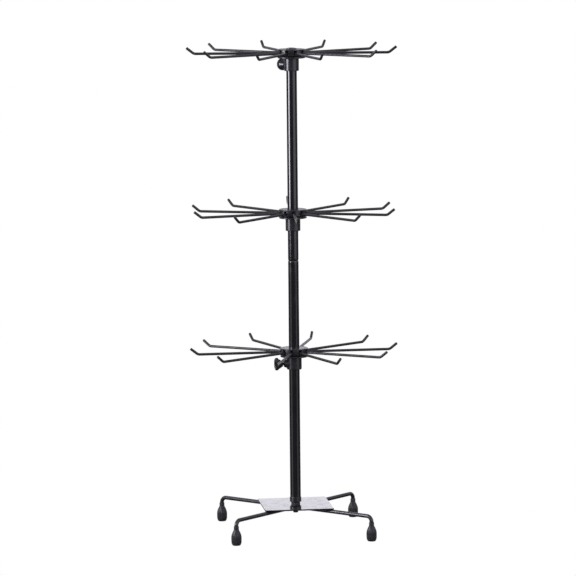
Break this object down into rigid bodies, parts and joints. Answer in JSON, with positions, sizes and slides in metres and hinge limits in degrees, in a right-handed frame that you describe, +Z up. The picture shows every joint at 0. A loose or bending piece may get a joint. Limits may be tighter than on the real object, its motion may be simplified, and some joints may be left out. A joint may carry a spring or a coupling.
{
  "type": "rotating counter display rack",
  "caption": "Free-standing counter rack: a slim turning pole on a splayed four-foot base carries three spinning, height-adjustable wheels of radiating wire hooks.",
  "frame": {"origin": "on the floor, on the axis of the pole", "axes": "+Z up along the pole; +X to the right and +Y to the back, along the edges of the base plate"},
  "size_m": [0.3164, 0.3158, 0.7348],
  "materials": {
    "plate_coat": "gloss black powder coat",
    "leg_coat": "gloss black powder coat",
    "tube_coat": "gloss black powder coat",
    "hook_coat": "gloss black powder coat",
    "hub_plastic": "moulded gloss black",
    "knob_plastic": "moulded gloss black",
    "cap_plastic": "moulded gloss black",
    "bush_plastic": "moulded satin black",
    "foot_rubber": "moulded black",
    "zinc_steel": "bright zinc plated",
    "insert_brass": "knurled brass",
    "black_steel": "black zinc plated",
    "nylon": "black nylon"
  },
  "bodies": {
    "base": {"base_plate": "plate_coat", "leg_front_left": "leg_coat", "leg_front_right": "leg_coat", "leg_rear_left": "leg_coat", "leg_rear_right": "leg_coat", "leg_welds": "leg_coat", "foot_front_left": "foot_rubber", "foot_front_right": "foot_rubber", "foot_rear_left": "foot_rubber", "foot_rear_right": "foot_rubber", "spindle_stud": "black_steel", "spindle_washer": "black_steel", "spindle_nut": "black_steel", "spindle_jam_nut": "black_steel", "thrust_washer": "nylon"},
    "pole": {"lower_tube": "tube_coat", "upper_tube": "tube_coat", "tube_joiner": "zinc_steel", "pole_foot_bush": "bush_plastic", "spindle_top_bush": "bush_plastic", "pole_cap": "cap_plastic"},
    "top_collar": {"top_collar": "hub_plastic", "top_insert": "insert_brass"},
    "top_clamp_screw": {"top_clamp_screw": "black_steel"},
    "top_clamp_knob": {"top_clamp_knob": "knob_plastic"},
    "top_wheel": {"top_wheel": "hub_plastic", "top_wheel_cover": "hub_plastic", "top_hooks": "hook_coat"},
    "middle_collar": {"middle_collar": "hub_plastic", "middle_insert": "insert_brass"},
    "middle_clamp_screw": {"middle_clamp_screw": "black_steel"},
    "middle_clamp_knob": {"middle_clamp_knob": "knob_plastic"},
    "middle_wheel": {"middle_wheel": "hub_plastic", "middle_wheel_cover": "hub_plastic", "middle_hooks": "hook_coat"},
    "bottom_collar": {"bottom_collar": "hub_plastic", "bottom_insert": "insert_brass"},
    "bottom_clamp_screw": {"bottom_clamp_screw": "black_steel"},
    "bottom_clamp_knob": {"bottom_clamp_knob": "knob_plastic"},
    "bottom_wheel": {"bottom_wheel": "hub_plastic", "bottom_wheel_cover": "hub_plastic", "bottom_hooks": "hook_coat"}
  },
  "joints": [
    {"name": "pole_spin", "type": "hinge", "parent": "base", "child": "pole", "pos_m": [0, 0, 0.0452], "axis": [0, 0, 1], "continuous": true},
    {"name": "top_collar_slide", "type": "slide", "parent": "pole", "child": "top_collar", "axis": [0, 0, 1], "range_m": [-0.1, 0]},
    {"name": "top_wheel_spin", "type": "hinge", "parent": "top_collar", "child": "top_wheel", "pos_m": [0, 0, 0.7243], "axis": [0, 0, 1], "continuous": true},
    {"name": "top_clamp_travel", "type": "slide", "parent": "top_collar", "child": "top_clamp_screw", "axis": [-0.3746, 0.9272, 0], "range_m": [0, 0.004]},
    {"name": "top_clamp_turn", "type": "hinge", "parent": "top_clamp_screw", "child": "top_clamp_knob", "pos_m": [-0.00749, 0.01854, 0.70635], "axis": [-0.3746, 0.9272, 0], "range_deg": [0, 1800]},
    {"name": "middle_collar_slide", "type": "slide", "parent": "pole", "child": "middle_collar", "axis": [0, 0, 1], "range_m": [-0.08, 0.08]},
    {"name": "middle_wheel_spin", "type": "hinge", "parent": "middle_collar", "child": "middle_wheel", "pos_m": [0, 0, 0.484], "axis": [0, 0, 1], "continuous": true},
    {"name": "middle_clamp_travel", "type": "slide", "parent": "middle_collar", "child": "middle_clamp_screw", "axis": [0.1219, 0.9925, 0], "range_m": [0, 0.004]},
    {"name": "middle_clamp_turn", "type": "hinge", "parent": "middle_clamp_screw", "child": "middle_clamp_knob", "pos_m": [0.00244, 0.01985, 0.46605], "axis": [0.1219, 0.9925, 0], "range_deg": [0, 1800]},
    {"name": "bottom_collar_slide", "type": "slide", "parent": "pole", "child": "bottom_collar", "axis": [0, 0, 1], "range_m": [-0.1, 0.08]},
    {"name": "bottom_wheel_spin", "type": "hinge", "parent": "bottom_collar", "child": "bottom_wheel", "pos_m": [0, 0, 0.274], "axis": [0, 0, 1], "continuous": true},
    {"name": "bottom_clamp_travel", "type": "slide", "parent": "bottom_collar", "child": "bottom_clamp_screw", "axis": [-0.9976, -0.0698, 0], "range_m": [0, 0.004]},
    {"name": "bottom_clamp_turn", "type": "hinge", "parent": "bottom_clamp_screw", "child": "bottom_clamp_knob", "pos_m": [-0.01995, -0.00139, 0.25605], "axis": [-0.9976, -0.0698, 0], "range_deg": [0, 1800]}
  ],
  "couplings": [
    {"joint": "top_clamp_turn", "follows": "top_clamp_travel", "rad_per_m": 7854},
    {"joint": "middle_clamp_turn", "follows": "middle_clamp_travel", "rad_per_m": 7854},
    {"joint": "bottom_clamp_turn", "follows": "bottom_clamp_travel", "rad_per_m": 7854}
  ]
}
